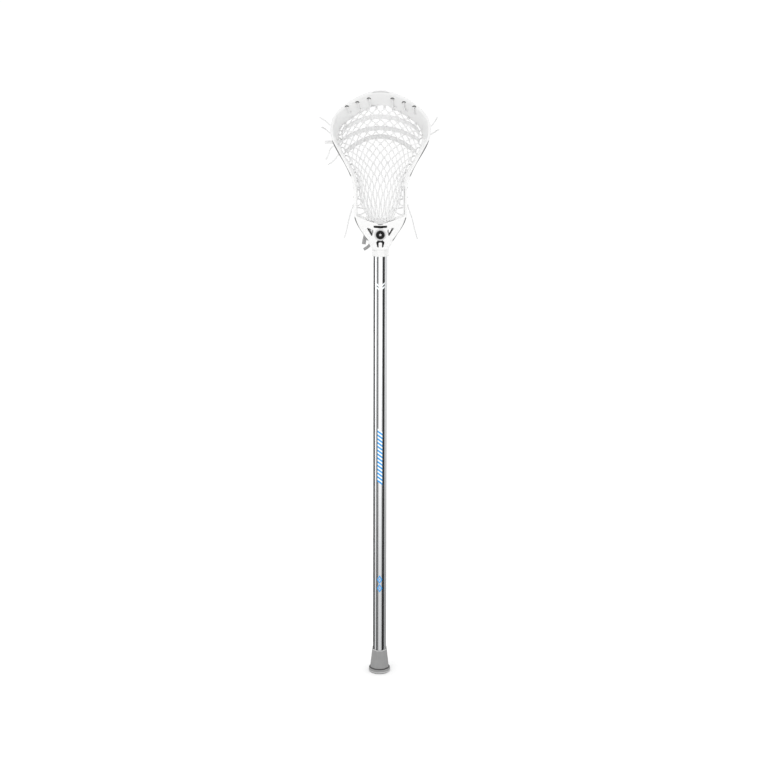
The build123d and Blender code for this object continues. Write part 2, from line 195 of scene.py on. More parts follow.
# Paint for each finish. Lengths are metres, in the frame of the whole stick.
shaftLook = {
    "metal": (0.80, 0.81, 0.82, 1.0), "dullMetal": (0.76, 0.77, 0.78, 1.0), "roughness": 0.075,
    "blue": (0.02, 0.33, 0.78, 1.0), "white": (0.9, 0.95, 0.97, 1.0),
    "face": -0.0118, "socketEnd": 0.7424, "cloud": 60, "wear": 900, "brushing": 2200,
    "faceAngle": 45.0, "edgeFrom": 3.0, "edgeTo": 9.0, "edgeShadeDepth": 0.85, "edgeShadeTone": 0.03, "socketShadeTone": 0.02,
    "chevronFoot": 0.6845, "chevronPitch": 0.0056, "chevronLine": 0.0030, "chevronHalf": 0.0072, "chevronSlope": 0.75,
    "chevronCount": 2.0, "chevronFace": -0.0095,
    "barsFrom": 0.350, "barsTo": 0.4445, "barPitch": 0.00675, "barHalf": 0.0040, "barSlope": 0.75, "barShare": 0.52,
    "markFrom": 0.151, "markTo": 0.183, "markHalf": 0.0046, "markRim": 0.55, "markDot": 0.25,
}


def paintShaft(sheet):
    look = shaftLook
    x, y, z = sheet.place()
    front = y < look["face"]
    side = abs(x)
    climb = (z - look["chevronFoot"] - side * look["chevronSlope"]) / look["chevronPitch"]
    chevrons = within(climb, 0.0, look["chevronCount"])
    chevrons = chevrons * (climb.fraction() < look["chevronLine"] / look["chevronPitch"])
    chevrons = chevrons * (side < look["chevronHalf"]) * (y < look["chevronFace"])
    slant = z + x * look["barSlope"]
    bars = within(slant, look["barsFrom"], look["barsTo"]) * (side < look["barHalf"]) * front
    step = ((slant - look["barsFrom"]) / look["barPitch"]).fraction()
    blueBars = bars * (step < look["barShare"])
    whiteBars = bars * (step > look["barShare"])
    middle = (look["markFrom"] + look["markTo"]) / 2
    reach = (look["markTo"] - look["markFrom"]) / 4
    ride = abs(abs(z - middle) - reach)
    lozenge = side / look["markHalf"] + ride / reach
    mark = (lozenge < 1.0) * ((lozenge > look["markRim"]).most(lozenge < look["markDot"])) * front
    blue = blueBars.most(mark)
    paintMask = blue.most(whiteBars).most(chevrons)
    metal = sheet.blend(sheet.noise(look["cloud"], 2.0, (1, 1, 0.2)), look["metal"], look["dullMetal"])
    # Painted shade: the tube's eight edges are darker than its faces, standing in for the dark reflections along them.
    around = sheet.angle(x, y * -1.0) * (180 / math.pi)
    fromEdge = abs(((around + 360.0) / look["faceAngle"]).fraction() * look["faceAngle"] - look["faceAngle"] / 2)
    edgeShade = (1 - fromEdge.ramp(look["edgeFrom"], look["edgeTo"])) * look["edgeShadeDepth"]
    # Painted shade: the tube within the head's socket is near black, dull and not metallic.
    hidden = z > look["socketEnd"]
    colour = sheet.blend(edgeShade, metal, grey(look["edgeShadeTone"]))
    colour = sheet.blend(hidden, colour, grey(look["socketShadeTone"]))
    colour = sheet.blend(paintMask, colour, sheet.blend(blue, look["white"], look["blue"]))
    wear = sheet.noise(look["wear"], 4.0)
    lines = sheet.noise(look["brushing"], 2.0, (1, 1, 0.012))
    rough = look["roughness"] + lines * 0.05 + paintMask * 0.25 + wear * 0.02 + hidden * 0.4
    return {"Base Color": colour, "Roughness": rough, "Metallic": (1.0 - paintMask) * (1.0 - hidden),
            "Normal": sheet.bump(lines + paintMask * 2.0, 0.000006, 0.4)}


headLook = {
    "tone": (0.81, 0.81, 0.805, 1.0), "lowTone": (0.77, 0.77, 0.77, 1.0), "roughness": 0.30, "cloud": 38, "grain": 2600,
    "railShadeLines": [  # heights, half width with its slope and curl, and front edge with its bend and middle
        (0.872, 0.934, (0.0479, 0.530, 0.0), (0.0012, -1.7, 0.912)),
        (0.768, 0.810, (0.01874, 0.9245, -8.375), (-0.0157, 1.5, 0.770)),
    ],
    "lineFade": 0.004, "railShadeTone": 0.10, "railShadeDepth": 0.9,
    "railInnerShade": (0.0384, 0.0403), "railInnerShadeHeights": (0.811, 0.858), "railInnerShadeFront": (-0.0131, 0.22, 0.815),
    "railInnerShadeTone": 0.20, "railInnerShadeDepth": 0.75,
    "lipHeight": 1.0126, "lipCurl": 7.7, "lipEnds": (0.011, 0.016), "lipShadeTone": 0.33, "lipShadeDepth": 0.55,
    "archHalf": 0.0068, "archHeights": (0.7572, 0.7702), "slitHalf": 0.0113, "slitHeights": (0.7880, 0.7962),
    "throatInside": (-0.0157, -0.0120),
    "scoopSlots": [(0.0543, 0.9883), (0.0376, 0.9950), (0.0190, 1.0010)],  # half widths and heights of their middles
    "slotRise": 0.0009, "slotCurl": 130.0, "slotShadeTone": 0.035,
}


def paintNylon(sheet):
    look = headLook
    cloud, grain = sheet.noise(look["cloud"], 3.0), sheet.noise(look["grain"], 3.0)
    x, y, z = sheet.place()
    side, shade = abs(x), None
    # Painted shade: thin dark lines on the rails' outer corners.
    for low, high, (half, slope, curl), (deep, bend, middle) in look["railShadeLines"]:
        edge = side - (z - low) * ((z - low) * curl + slope) - half
        behind = y - deep - (z - middle) * (z - middle) * bend
        line = edge.ramp(-0.0018, -0.0012) * (1 - behind.ramp(-0.0003, 0.0003))
        line = line * (z - low).ramp(0.0, look["lineFade"]) * (high - z).ramp(0.0, look["lineFade"])
        shade = line if shade is None else shade.most(line)
    # Painted shade: a dark line down the right rail's inner wall.
    low, high = look["railInnerShadeHeights"]
    front, slope, middle = look["railInnerShadeFront"]
    railInnerShade = within(x, *look["railInnerShade"]) * (y - front - (z - middle) * slope < 0.0)
    railInnerShade = railInnerShade * (z - low).ramp(0.0, look["lineFade"]) * (high - z).ramp(0.0, look["lineFade"])
    # Painted shade: a short grey arc along the top of the scoop's lip.
    lip = 1 - abs(z - look["lipHeight"] + side * side * look["lipCurl"]).ramp(0.0005, 0.0014)
    lip = lip * (1 - side.ramp(*look["lipEnds"])) * (y < 0.0)
    # Painted shade: the throat's slots and the scoop's lacing slots are painted near black, as the shadow within them.
    inside = (side < look["archHalf"]) * within(z, *look["archHeights"])
    inside = inside.most((side < look["slitHalf"]) * within(z, *look["slitHeights"])) * within(y, *look["throatInside"])
    for slotX, slotZ in look["scoopSlots"]:
        across = abs(side - slotX)
        arch = abs(z - slotZ - look["slotRise"] + across * across * look["slotCurl"])
        inside = inside.most((1 - arch.ramp(0.0007, 0.0013)) * (1 - across.ramp(0.0027, 0.0035)))
    colour = sheet.blend(cloud, look["tone"], look["lowTone"])
    colour = sheet.blend(shade * look["railShadeDepth"], colour, grey(look["railShadeTone"]))
    colour = sheet.blend(railInnerShade * look["railInnerShadeDepth"], colour, grey(look["railInnerShadeTone"]))
    colour = sheet.blend(lip * look["lipShadeDepth"], colour, grey(look["lipShadeTone"]))
    colour = sheet.blend(inside, colour, grey(look["slotShadeTone"]))
    return {"Base Color": colour, "Roughness": look["roughness"] + grain * 0.10 + cloud * 0.08,
            "Normal": sheet.bump(grain + cloud * 3.0, 0.000030, 0.5)}


capLook = {
    "tone": 0.235, "highTone": 0.29, "wearAndHighlightTone": 0.55, "grooveShadeTone": 0.05, "grooveShadeDepth": 0.85,
    "wornLine": 0.0026, "top": 0.0414, "groove": 0.0079, "grooveRadii": (0.0150, 0.0178), "grain": 1500, "cloud": 90,
}


def paintRubber(sheet):
    look = capLook
    x, y, z = sheet.place()
    grain, cloud = sheet.noise(look["grain"], 4.0), sheet.noise(look["cloud"], 3.0)
    # A lighter worn band near the foot, and a painted highlight along the top rim.
    wearAndHighlight = (1 - abs(z - look["wornLine"]).ramp(0.0006, 0.0014)) * (cloud * 0.6 + 0.5)
    wearAndHighlight = wearAndHighlight.most(z.ramp(look["top"], look["top"] + 0.0008))
    radius = (x * x + y * y) ** 0.5
    # Painted shade: the groove above the rim is darkened.
    groove = (1 - abs(z - look["groove"]).ramp(0.0008, 0.0014)) * within(radius, *look["grooveRadii"])
    colour = sheet.blend(cloud, grey(look["tone"]), grey(look["highTone"]))
    colour = sheet.blend(wearAndHighlight.least(1.0), colour, grey(look["wearAndHighlightTone"]))
    colour = sheet.blend(groove * look["grooveShadeDepth"], colour, grey(look["grooveShadeTone"]))
    return {"Base Color": colour, "Roughness": 0.62 + grain * 0.2, "Normal": sheet.bump(grain, 0.00006, 0.8)}


foamLook = {"tone": 0.60, "highTone": 0.74, "tabTone": 0.008, "tabFront": -0.0128, "cells": 1400}


def paintFoam(sheet):
    look = foamLook
    cells = sheet.cells(look["cells"])
    depth = sheet.place()[1]
    tab = 1 - depth.ramp(look["tabFront"], look["tabFront"] + 0.0006)
    colour = sheet.blend(cells, grey(look["tone"]), grey(look["highTone"]))
    return {"Base Color": sheet.blend(tab, colour, grey(look["tabTone"])), "Roughness": 0.85 + cells * 0.1,
            "Normal": sheet.bump(cells, 0.00018, 0.8)}


badgeLook = {
    "centre": 0.779, "mark": 0.0018, "petals": 5, "petalDepth": 0.0006, "rim": 0.0066, "rimFade": 0.0016,
    "tone": 0.006, "markTone": 0.55, "rimTone": 0.60, "scuffs": 700,
}


def paintBadge(sheet):
    look = badgeLook
    x, _, z = sheet.place()
    up = z - look["centre"]
    radius = (x * x + up ** 2.0) ** 0.5
    petal = (sheet.angle(x, up) * look["petals"]).cosine()
    mask = radius < petal * look["petalDepth"] + look["mark"]
    scuff = sheet.noise(look["scuffs"], 4.0)
    colour = sheet.blend(mask, grey(look["tone"]), grey(look["markTone"]))
    colour = sheet.blend(radius.ramp(look["rim"], look["rim"] + look["rimFade"]), colour, grey(look["rimTone"]))
    return {"Base Color": colour, "Roughness": 0.38 + scuff * 0.12 + mask * 0.1,
            "Normal": sheet.bump(mask + scuff * 0.2, 0.00008, 0.5)}


screwLook = {"tone": (0.55, 0.55, 0.56, 1), "highTone": (0.66, 0.66, 0.66, 1), "turning": 3000}


def paintSteel(sheet):
    look = screwLook
    turned = sheet.noise(look["turning"], 2.0, (1, 0.05, 1))
    return {"Base Color": sheet.blend(turned, look["tone"], look["highTone"]),
            "Roughness": 0.25 + turned * 0.15, "Normal": sheet.bump(turned, 0.00001, 0.4)}


def cordPaint(tone, dark, scale):
    def paint(sheet):
        fibre = sheet.noise(scale, 3.0)
        # Painted shade: the braid is darker in its hollows, where its cells meet.
        depth = sheet.cells(scale * 0.55, {"feature": "DISTANCE_TO_EDGE"}).ramp(0.0, 0.35)
        return {"Base Color": sheet.blend(depth, grey(dark), grey(tone)), "Roughness": 0.66 + fibre * 0.2,
                "Normal": sheet.bump(depth + fibre * 0.4, 0.00016, 0.7)}
    return paint


def lacePaint(tone, dark, length, width, cell):
    def paint(sheet):
        along, across = sheet.along()
        a = along * (2 * math.pi * length / cell)
        b = across * (math.pi * width / cell)
        over = (a + b * 2.0).sine() * (a - b * 2.0).sine()
        fibre = sheet.noise(2500, 3.0)
        # Painted shade: the weave is darker where it dips under. The ribbon is also darker along its edges.
        height = over * 0.5 + 0.5
        border = abs(across - 0.5).ramp(0.40, 0.46)
        colour = sheet.blend(height, grey(dark), grey(tone))
        colour = sheet.blend(border * 0.5, colour, grey(dark))
        return {"Base Color": colour, "Roughness": 0.72 + fibre * 0.15,
                "Normal": sheet.bump(height + fibre * 0.3, 0.00020, 0.8)}
    return paint


aluminium = makeMaterial("polishedShaft", paintShaft, {"Coat Weight": 0.15, "Coat Roughness": 0.12})
nylon = makeMaterial("whiteNylon", paintNylon, {"Coat Weight": 0.12, "Coat Roughness": 0.25, "IOR": 1.5})
rubber = makeMaterial("greyRubber", paintRubber, {"Metallic": 0.0})
foam = makeMaterial("padFoam", paintFoam, {"Metallic": 0.0})
badgePlastic = makeMaterial("badgePlastic", paintBadge, {"Specular IOR Level": 0.2})
steel = makeMaterial("screwSteel", paintSteel, {"Metallic": 1.0})
meshCord = makeMaterial("knittedCord", cordPaint(0.93, 0.76, 900), {"Sheen Weight": 0.2})
stringCord = makeMaterial("braidedString", cordPaint(0.91, 0.68, 1100), {"Sheen Weight": 0.15})
print("materials ready")

# The head's lines, in millimetres, as heights above the socket's open end. "backEdge" pairs heights with depths,
# and "rails" has each hole's inner and outer half width.
headLines = {
    "socketEnd": 742.0,
    "backEdge": [(-2, 15.9), (30, 17), (55, 23), (80, 35), (110, 43), (150, 46), (185, 42), (212, 30), (232, 17),
                 (245, 5)],
    "holes": [64.0, 78.0, 92.0, 107.5, 122.0, 136.0, 149.5, 163.0, 177.0, 193.5, 206.0], "holeInset": 4.5,
    "rails": [(36.2, 41.0), (38.0, 42.6), (37.9, 42.5), (37.9, 42.5), (39.6, 44.4), (44.9, 50.1), (52.5, 57.9),
              (60.7, 65.9), (66.9, 71.7), (69.0, 73.7), (66.4, 71.7)],
}
netLines = {
    "foot": 58.0, "top": 241.0, "topDepth": 4.0, "inset": 3.4, "sag": 24.0,
    "side": [(0, 63), (0.2, 92), (0.4, 122), (0.6, 150), (0.8, 178), (1, 206)],
    "half": [(0, 22.4), (0.2, 33.4), (0.4, 37.7), (0.6, 48.9), (0.8, 63.1), (1, 63.3)],
    "depth": [(0, 0), (0.15, 0.62), (0.35, 1), (0.55, 0.86), (0.8, 0.4), (1, 0)],
}


def smooth(knots, t):
    t = min(max(t, knots[0][0]), knots[-1][0])
    i = max(k for k in range(len(knots) - 1) if knots[k][0] <= t)
    (t0, a), (t1, b) = knots[i], knots[i + 1]
    before, after = knots[max(i - 1, 0)], knots[min(i + 2, len(knots) - 1)]
    slopeA = (b - before[1]) / (t1 - before[0]) * (t1 - t0)
    slopeB = (after[1] - a) / (after[0] - t0) * (t1 - t0)
    s = (t - t0) / (t1 - t0)
    return (a * (2 * s**3 - 3 * s**2 + 1) + slopeA * (s**3 - 2 * s**2 + s)
            + b * (3 * s**2 - 2 * s**3) + slopeB * (s**3 - s**2))


def netPoint(u, v, lift=0.0):
    middle = netLines["foot"] + (netLines["top"] - netLines["foot"]) * v
    height = middle + (smooth(netLines["side"], v) - middle) * u * u
    edge = smooth(headLines["backEdge"], smooth(netLines["side"], v)) - netLines["inset"]
    base = edge + (netLines["topDepth"] - edge) * v**3 * (1 - u * u)
    y = base + netLines["sag"] * smooth(netLines["depth"], v) * (1 - u * u)
    return Vector((u * smooth(netLines["half"], v), y - lift, headLines["socketEnd"] + height)) * mm


def curveThrough(name, routes, radius, sides=2, kind="NURBS", steps=6):
    data = bpy.data.curves.new(name, "CURVE")
    data.dimensions = "3D"
    data.bevel_depth, data.bevel_resolution, data.use_fill_caps = radius * mm, sides, radius > 0
    data.resolution_u = steps
    for route in routes:
        spline = data.splines.new(kind)
        if kind == "BEZIER":
            spline.bezier_points.add(len(route) - 1)
            for spot, point in zip(route, spline.bezier_points):
                point.co = spot
                point.handle_left_type = point.handle_right_type = "AUTO"
        else:
            spline.points.add(len(route) - 1)
            for spot, point in zip(route, spline.points):
                point.co = (*spot, 1.0)
            spline.order_u = 3
            spline.use_endpoint_u = True
    item = bpy.data.objects.new(name, data)
    bpy.context.scene.collection.objects.link(item)
    return item


def meshOf(item):
    only(item)
    bpy.ops.object.convert(target="MESH")
    smoothShade(item)
    return item


# The shaft keeps its own mesh.
shaft = copyOfNode("shaft", "shaftTube")
smoothShade(shaft, 20)
dress(shaft, aluminium, "stick", "shaft_alloy", "shaft")

# The cap is remeshed, so that its rim and groove are soft.
capShape = {"voxel": 0.00045, "smoothing": 3}
cap = copyOfNode("butt_cap", "buttCap")
modify(cap, "REMESH", mode="VOXEL", voxel_size=capShape["voxel"])
modify(cap, "SMOOTH", factor=0.5, iterations=capShape["smoothing"])
smoothShade(cap)
dress(cap, rubber, "butt_cap", "cap_rubber", "butt_cap")
print("shaft and cap done")

# The head is remeshed in the same way, for moulded corners.
headShape = {"voxel": 0.00094, "quickVoxel": 0.0013, "smoothing": 4}
head = copyOfNode("head_frame", "headFrame")
modify(head, "REMESH", mode="VOXEL", voxel_size=headShape["voxel"])
modify(head, "SMOOTH", factor=0.5, iterations=headShape["smoothing"])
smoothShade(head)
dress(head, nylon, "stick", "head_nylon", "head_frame")
print("head done", len(head.data.polygons))

# Pad, badge and screw.
padShape = {"voxel": 0.0004, "smoothing": 3}
pad = copyOfNode("ball_stop_pad", "ballStopPad")
modify(pad, "REMESH", mode="VOXEL", voxel_size=padShape["voxel"])
modify(pad, "SMOOTH", factor=0.5, iterations=padShape["smoothing"])
smoothShade(pad)
dress(pad, foam, "stick", "foam_pad", "ball_stop_pad")
badge = copyOfNode("throat_badge", "throatBadge")
smoothShade(badge, 25)
dress(badge, badgePlastic, "stick", "badge_black", "throat_badge")
screw = copyOfNode("head_screw", "headScrew")
smoothShade(screw, 25)
dress(screw, steel, "head_screw", "screw_steel", "head_screw")

# The net: strands that zigzag and meet their neighbours in turn. Lengths are millimetres.
netShape = {
    "strands": 20, "rows": 20, "crowding": 0.7, "cord": 1.1, "hold": 0.20, "apart": 0.9,
    "knot": (1.95, 1.3, 2.3), "spread": 3.2, "spreadAt": 0.1, "spreadWide": 0.08,
    "overStop": [(14.0, 1.2), (4.0, 1.4)], "stopTop": 54.0, "stopCurl": 0.0082,
    "gather": [(0, 0.15), (0.15, 0.3), (0.4, 0.5), (0.7, 0.25), (1, 0.05)], "tuck": (2.2, 6.0),
}


def rowPlace(row):
    return (row / netShape["rows"]) ** netShape["crowding"]


def strandRoute(k):
    step = 2.0 / netShape["strands"]
    centre = -1 + (k + 0.5) * step
    route = []
    for row in range(netShape["rows"] + 1):
        lean = 1 if (k + row) % 2 == 0 else -1
        meet = centre + lean * step / 2
        near = rowPlace(max(row - netShape["hold"], 0))
        far = rowPlace(min(row + netShape["hold"], netShape["rows"]))
        for v in (near, far):
            half = smooth(netLines["half"], v)
            u = min(max(meet - lean * netShape["apart"] / half, -1), 1)
            route.append(strandPoint(u, v))
    # The lowest ends lie forwards over the ball stop's wall.
    foot = route[0].x / mm
    wallTop = headLines["socketEnd"] + netShape["stopTop"] + netShape["stopCurl"] * foot * foot
    ends = [Vector((foot, y, wallTop + rise)) * mm for y, rise in netShape["overStop"]]
    back, rise = netShape["tuck"]
    return ends[::-1] + route + [route[-1] + Vector((0, back, rise)) * mm]


def strandPoint(u, v):
    # The mesh is gathered towards the sides, and stands a little wider near the throat.
    gather = smooth(netShape["gather"], v)
    spot = netPoint(u + gather * math.sin(math.pi * u) / math.pi, v)
    bulge = math.exp(-((v - netShape["spreadAt"]) / netShape["spreadWide"]) ** 2)
    spot.x *= 1 + netShape["spread"] * bulge / smooth(netLines["half"], v)
    return spot


routes = [strandRoute(k) for k in range(netShape["strands"])]
strands = meshOf(curveThrough("netStrands", routes, netShape["cord"], 1, steps=3))
bpy.ops.object.select_all(action="DESELECT")
bpy.ops.mesh.primitive_uv_sphere_add(segments=8, ring_count=6, radius=1.0)
knotSeed = bpy.context.object
knots = [strands]
for k in range(netShape["strands"] - 1):
    for row in range(netShape["rows"] + 1):
        if (k + row) % 2 == 0:
            u = -1 + (k + 1) * 2.0 / netShape["strands"]
            v = rowPlace(row)
            spot = strandPoint(u, v)
            up = (strandPoint(u, min(v + 0.02, 1)) - strandPoint(u, max(v - 0.02, 0))).normalized()
            wide = (strandPoint(min(u + 0.05, 1), v) - strandPoint(max(u - 0.05, -1), v)).normalized()
            out = wide.cross(up).normalized()
            wide = up.cross(out)
            knot = knotSeed.copy()
            knot.data = knotSeed.data.copy()
            a, b, c = netShape["knot"]
            for corner in knot.data.vertices:
                corner.co = spot + (wide * corner.co.x * a + out * corner.co.y * b + up * corner.co.z * c) * mm
            bpy.context.scene.collection.objects.link(knot)
            knots.append(knot)
bpy.data.objects.remove(knotSeed)
net = joined(knots, "knottedNet")
smoothShade(net)
dress(net, meshCord, "stick", "net_cord", "net")
print("net done", len(net.data.polygons))

# Shooting laces: flat ribbons that weave across the net.
laceShape = {
    "share": 0.985, "width": 7.5, "thickness": 1.2, "steps": 160,
    "weave": 1.5, "weaveStep": 0.1, "curl": 0.25, "lift": 0.9,
    "upper": (0.922, 0.97), "middle": (0.811, 0.85), "lower": (0.728, 0.71),
    "tones": {"upper": 0.93, "middle": 0.88, "lower": 0.83}, "dark": 0.72, "length": 0.132, "cell": 0.0011,
    "sheen": 0.2,
}


def ribbon(name, place, steps, thickness, across=6):
    bpy.ops.object.select_all(action="DESELECT")
    bpy.ops.mesh.primitive_grid_add(x_subdivisions=steps, y_subdivisions=across, size=2, calc_uvs=True)
    item = bpy.context.object
    item.name = name
    for corner in item.data.vertices:
        corner.co = place(corner.co.x, corner.co.y)
    modify(item, "SOLIDIFY", thickness=thickness * mm, offset=0.0)
    modify(item, "BEVEL", width=thickness * 0.3 * mm, segments=2, limit_method="ANGLE", angle_limit=math.radians(50))
    smoothShade(item, 50)
    return item


for which in ("upper", "middle", "lower"):
    vMiddle, vEnd = laceShape[which]

    def lacePlace(s, t, vMiddle=vMiddle, vEnd=vEnd):
        u = s * laceShape["share"]
        v = vMiddle + (vEnd - vMiddle) * u * u
        v += t * laceShape["width"] / 2 / (netLines["top"] - netLines["foot"])
        wave = math.cos(math.pi * u / laceShape["weaveStep"]) * (1 - laceShape["curl"] * t * t)
        return netPoint(u, v, laceShape["lift"] + laceShape["weave"] * wave)

    lace = ribbon("shootingLace" + which.title(), lacePlace, laceShape["steps"], laceShape["thickness"])
    # Painted shade: the lower laces are darker copies of the same white lace.
    tone = laceShape["tones"][which]
    paint = lacePaint(tone, tone * laceShape["dark"], laceShape["length"], laceShape["width"] * mm, laceShape["cell"])
    woven = makeMaterial(which + "Lace", paint, {"Sheen Weight": laceShape["sheen"]})
    dress(lace, woven, "stick", "flat_lace", "shooting_lace_" + which)
print("laces done")

# Lacing strings round the rails, the ball stop and the scoop.
stringShape = {
    "radius": 1.15, "away": 2.05, "voxel": 0.00035, "smoothing": 4,
    "bite": 0.5, "catch": (0.5, 1.0), "hug": 0.6, "lead": (4, 2), "slant": 0.8,
    "bottomAt": 54.0, "bottomTop": 58.0, "bottomBend": 1.45,
    "bottomRise": [(-27.0, 3.4), (-18.0, 0.6), (-9.0, 0.4), (0.0, -0.4), (9.0, 0.4), (18.0, 0.6), (27.0, 3.4)],
}


def lacingRoute(side):
    # Out and in through each hole, round the net's edge, and behind the rail to the next hole.
    away, bite, hug, route = stringShape["away"], stringShape["bite"], stringShape["hug"], []
    holes, rails = headLines["holes"], headLines["rails"]
    for i, height in enumerate(holes):
        inner, outer = rails[i]
        y, z = smooth(headLines["backEdge"], height) - headLines["holeInset"], headLines["socketEnd"] + height
        route += [Vector((side * x, y, z)) * mm for x in (outer + away - bite, inner - away + bite)]
        if i == len(holes) - 1:
            break
        inwards, back = stringShape["catch"]
        route.append(netPoint(side, (i + 0.5) / (len(holes) - 1)) + Vector((-side * inwards, back, 0)) * mm)
        behind = smooth(headLines["backEdge"], holes[i + 1]) + away - hug
        z = headLines["socketEnd"] + holes[i + 1]
        far, near = stringShape["lead"]
        route.append(Vector((side * (rails[i + 1][0] + bite), behind, z - far)) * mm)
        route.append(Vector((side * (rails[i + 1][1] + away - hug), behind - stringShape["slant"], z - near)) * mm)
    return route


for label, side in (("Left", -1), ("Right", 1)):
    lacing = meshOf(curveThrough("sidewallString" + label, [lacingRoute(side)], stringShape["radius"], 3, "BEZIER", 8))
    dress(lacing, stringCord, "stick", "nylon_string", "sidewall_string_" + label.lower())

bottomDepth = smooth(headLines["backEdge"], stringShape["bottomAt"]) - 1 + stringShape["bottomBend"]
bottomHeight = headLines["socketEnd"] + stringShape["bottomTop"] - stringShape["bottomBend"]
bottomRoute = [Vector((x, bottomDepth, bottomHeight + rise)) * mm for x, rise in stringShape["bottomRise"]]
bottomString = meshOf(curveThrough("bottomString", [bottomRoute], stringShape["radius"], 3))
dress(bottomString, stringCord, "stick", "nylon_string", "bottom_string")
topString = copyOfNode("top_string", "topString")
modify(topString, "REMESH", mode="VOXEL", voxel_size=stringShape["voxel"])
modify(topString, "SMOOTH", factor=0.5, iterations=stringShape["smoothing"])
smoothShade(topString)
dress(topString, stringCord, "stick", "nylon_string", "top_string")
print("strings done")

# Knots outside the rails.
knotShape = {"size": 0.6084, "cord": 0.85, "steps": 18, "away": 2.7}
knotHoles = {
    "topLeft": (-1, 10), "topRight": (1, 10), "upperLeft": (-1, 9), "upperRight": (1, 9),
    "middleLeft": (-1, 8), "lowerLeft": (-1, 7), "sideLeft": (-1, 1), "sideRight": (1, 1),
}


def knotCentre(name):
    side, index = knotHoles[name]
    height = headLines["holes"][index]
    across = side * (headLines["rails"][index][1] + knotShape["away"])
    depth = smooth(headLines["backEdge"], height) - headLines["holeInset"]
    return Vector((across, depth, headLines["socketEnd"] + height)) * mm


loop = []  # a trefoil
for i in range(knotShape["steps"] + 1):
    t = 2 * math.pi * i / knotShape["steps"]
    loop.append(Vector((math.sin(3 * t) * -1.0, math.sin(t) + 2 * math.sin(2 * t), math.cos(t) - 2 * math.cos(2 * t))))
tangles = []
for name in knotHoles:
    centre = knotCentre(name)
    route = [centre + spot * knotShape["size"] * mm for spot in loop]
    tangles.append(meshOf(curveThrough("knot" + name, [route], knotShape["cord"], 2, "BEZIER", 5)))
stringKnots = joined(tangles, "stringKnots")
dress(stringKnots, stringCord, "stick", "nylon_string", "string_knots")

# Free string ends, in millimetres from the knot outwards.
tailRoutes = {
    "topLeft": [(-82.0, 29.0, 952.5), (-88.0, 29.5, 958.0), (-93.5, 28.0, 962.5), (-99.5, 26.0, 966.0)],
    "topRight": [(82.0, 29.0, 951.0), (87.0, 31.5, 956.0), (91.0, 29.0, 962.5), (93.0, 23.5, 967.5)],
    "upperLeft": [(-80.5, 37.5, 937.5), (-86.0, 41.5, 941.0), (-91.0, 39.5, 945.5), (-94.5, 33.5, 948.5),
                  (-97.0, 27.5, 949.5)],
    "upperRight": [(81.0, 37.5, 936.5), (86.5, 41.5, 938.5), (91.0, 39.5, 942.0), (94.0, 33.5, 945.0),
                   (96.5, 27.5, 946.0)],
    "middleLeft": [(-79.0, 42.0, 916.5), (-83.5, 46.5, 911.5), (-85.5, 46.0, 905.0), (-87.5, 40.5, 899.5),
                   (-90.0, 34.0, 896.0)],
    "lowerLeft": [(-70.5, 44.5, 901.0), (-74.5, 49.0, 895.5), (-79.0, 48.5, 890.5), (-83.0, 43.0, 888.0),
                  (-86.5, 37.0, 887.0)],
    "sideLeft": [(-48.5, 30.0, 811.0), (-51.5, 28.5, 800.0), (-54.5, 28.0, 788.0), (-56.5, 27.0, 776.0),
                 (-60.5, 26.5, 765.5)],
    "sideRight": [(48.5, 30.0, 810.0), (53.0, 29.0, 799.0), (55.5, 28.0, 787.0), (58.5, 27.0, 775.5),
                  (62.0, 26.5, 764.5)],
}


def snake(text):
    return "".join("_" + c.lower() if c.isupper() else c for c in text)


def bareLine(item):
    # The smooth line of a curve, read from a copy with no thickness.
    data = item.data.copy()
    data.bevel_depth, data.resolution_u = 0.0, 12
    line = bpy.data.objects.new("line", data)
    bpy.context.scene.collection.objects.link(line)
    bpy.context.view_layer.update()
    mesh = bpy.data.meshes.new_from_object(line)
    spots = [v.co.copy() for v in mesh.vertices]
    bpy.data.objects.remove(line)
    return spots


def lengthOf(spots):
    return sum((b - a).length for a, b in zip(spots, spots[1:]))


for name, route in tailRoutes.items():
    start = knotCentre(name)
    tail = curveThrough("stringTail" + name[0].upper() + name[1:], [[start] + [Vector(p) * mm for p in route]],
                        stringShape["radius"], 3, steps=10)
    length = lengthOf(bareLine(tail))
    dress(tail, stringCord, "stick", "nylon_string", "string_tail_" + snake(name))
print("string ends done")

# Free ends of flat lace: width, node, slot and route, with the weave of each slot as two tones, length and width.
tailShape = {
    "steps": 40, "across": 4, "lift": 2.35, "start": (-0.6, -0.3, 0),
    "grey_lace": (0.46, 0.26, 0.05, 0.0066), "flat_lace": (0.88, 0.66, 0.032, 0.0052),
}
laceEnd = netPoint(-laceShape["share"], laceShape["middle"][1], tailShape["lift"]) + Vector(tailShape["start"]) * mm
flatTails = {
    "laceTail": (5.2, "lace_tail", "flat_lace", [tuple(laceEnd / mm), (-65.3, 31.6, 926.0), (-73.5, 28.0, 924.5),
                                                 (-82.5, 26.0, 926.0), (-91.5, 26.5, 925.0)]),
    "throatTailLong": (6.6, "throat_tail_long", "grey_lace", [
        (-8.0, 25.3, 796.0), (-15.0, 25.1, 788.0), (-20.5, 24.0, 778.0), (-26.0, 22.8, 768.0), (-27.5, 21.5, 756.5)]),
    "throatTailShort": (5.0, "throat_tail_short", "grey_lace", [
        (-17.0, 23.2, 779.0), (-16.5, 22.0, 771.0), (-14.5, 21.2, 763.5), (-16.5, 20.8, 756.5), (-21.5, 21.3, 751.0),
        (-27.5, 22.3, 747.5)]),
}
tailCloth = {}
for slot, name in (("grey_lace", "greyWebbing"), ("flat_lace", "paleLace")):
    paint = lacePaint(*tailShape[slot], laceShape["cell"])
    tailCloth[slot] = makeMaterial(name, paint, {"Sheen Weight": laceShape["sheen"]})
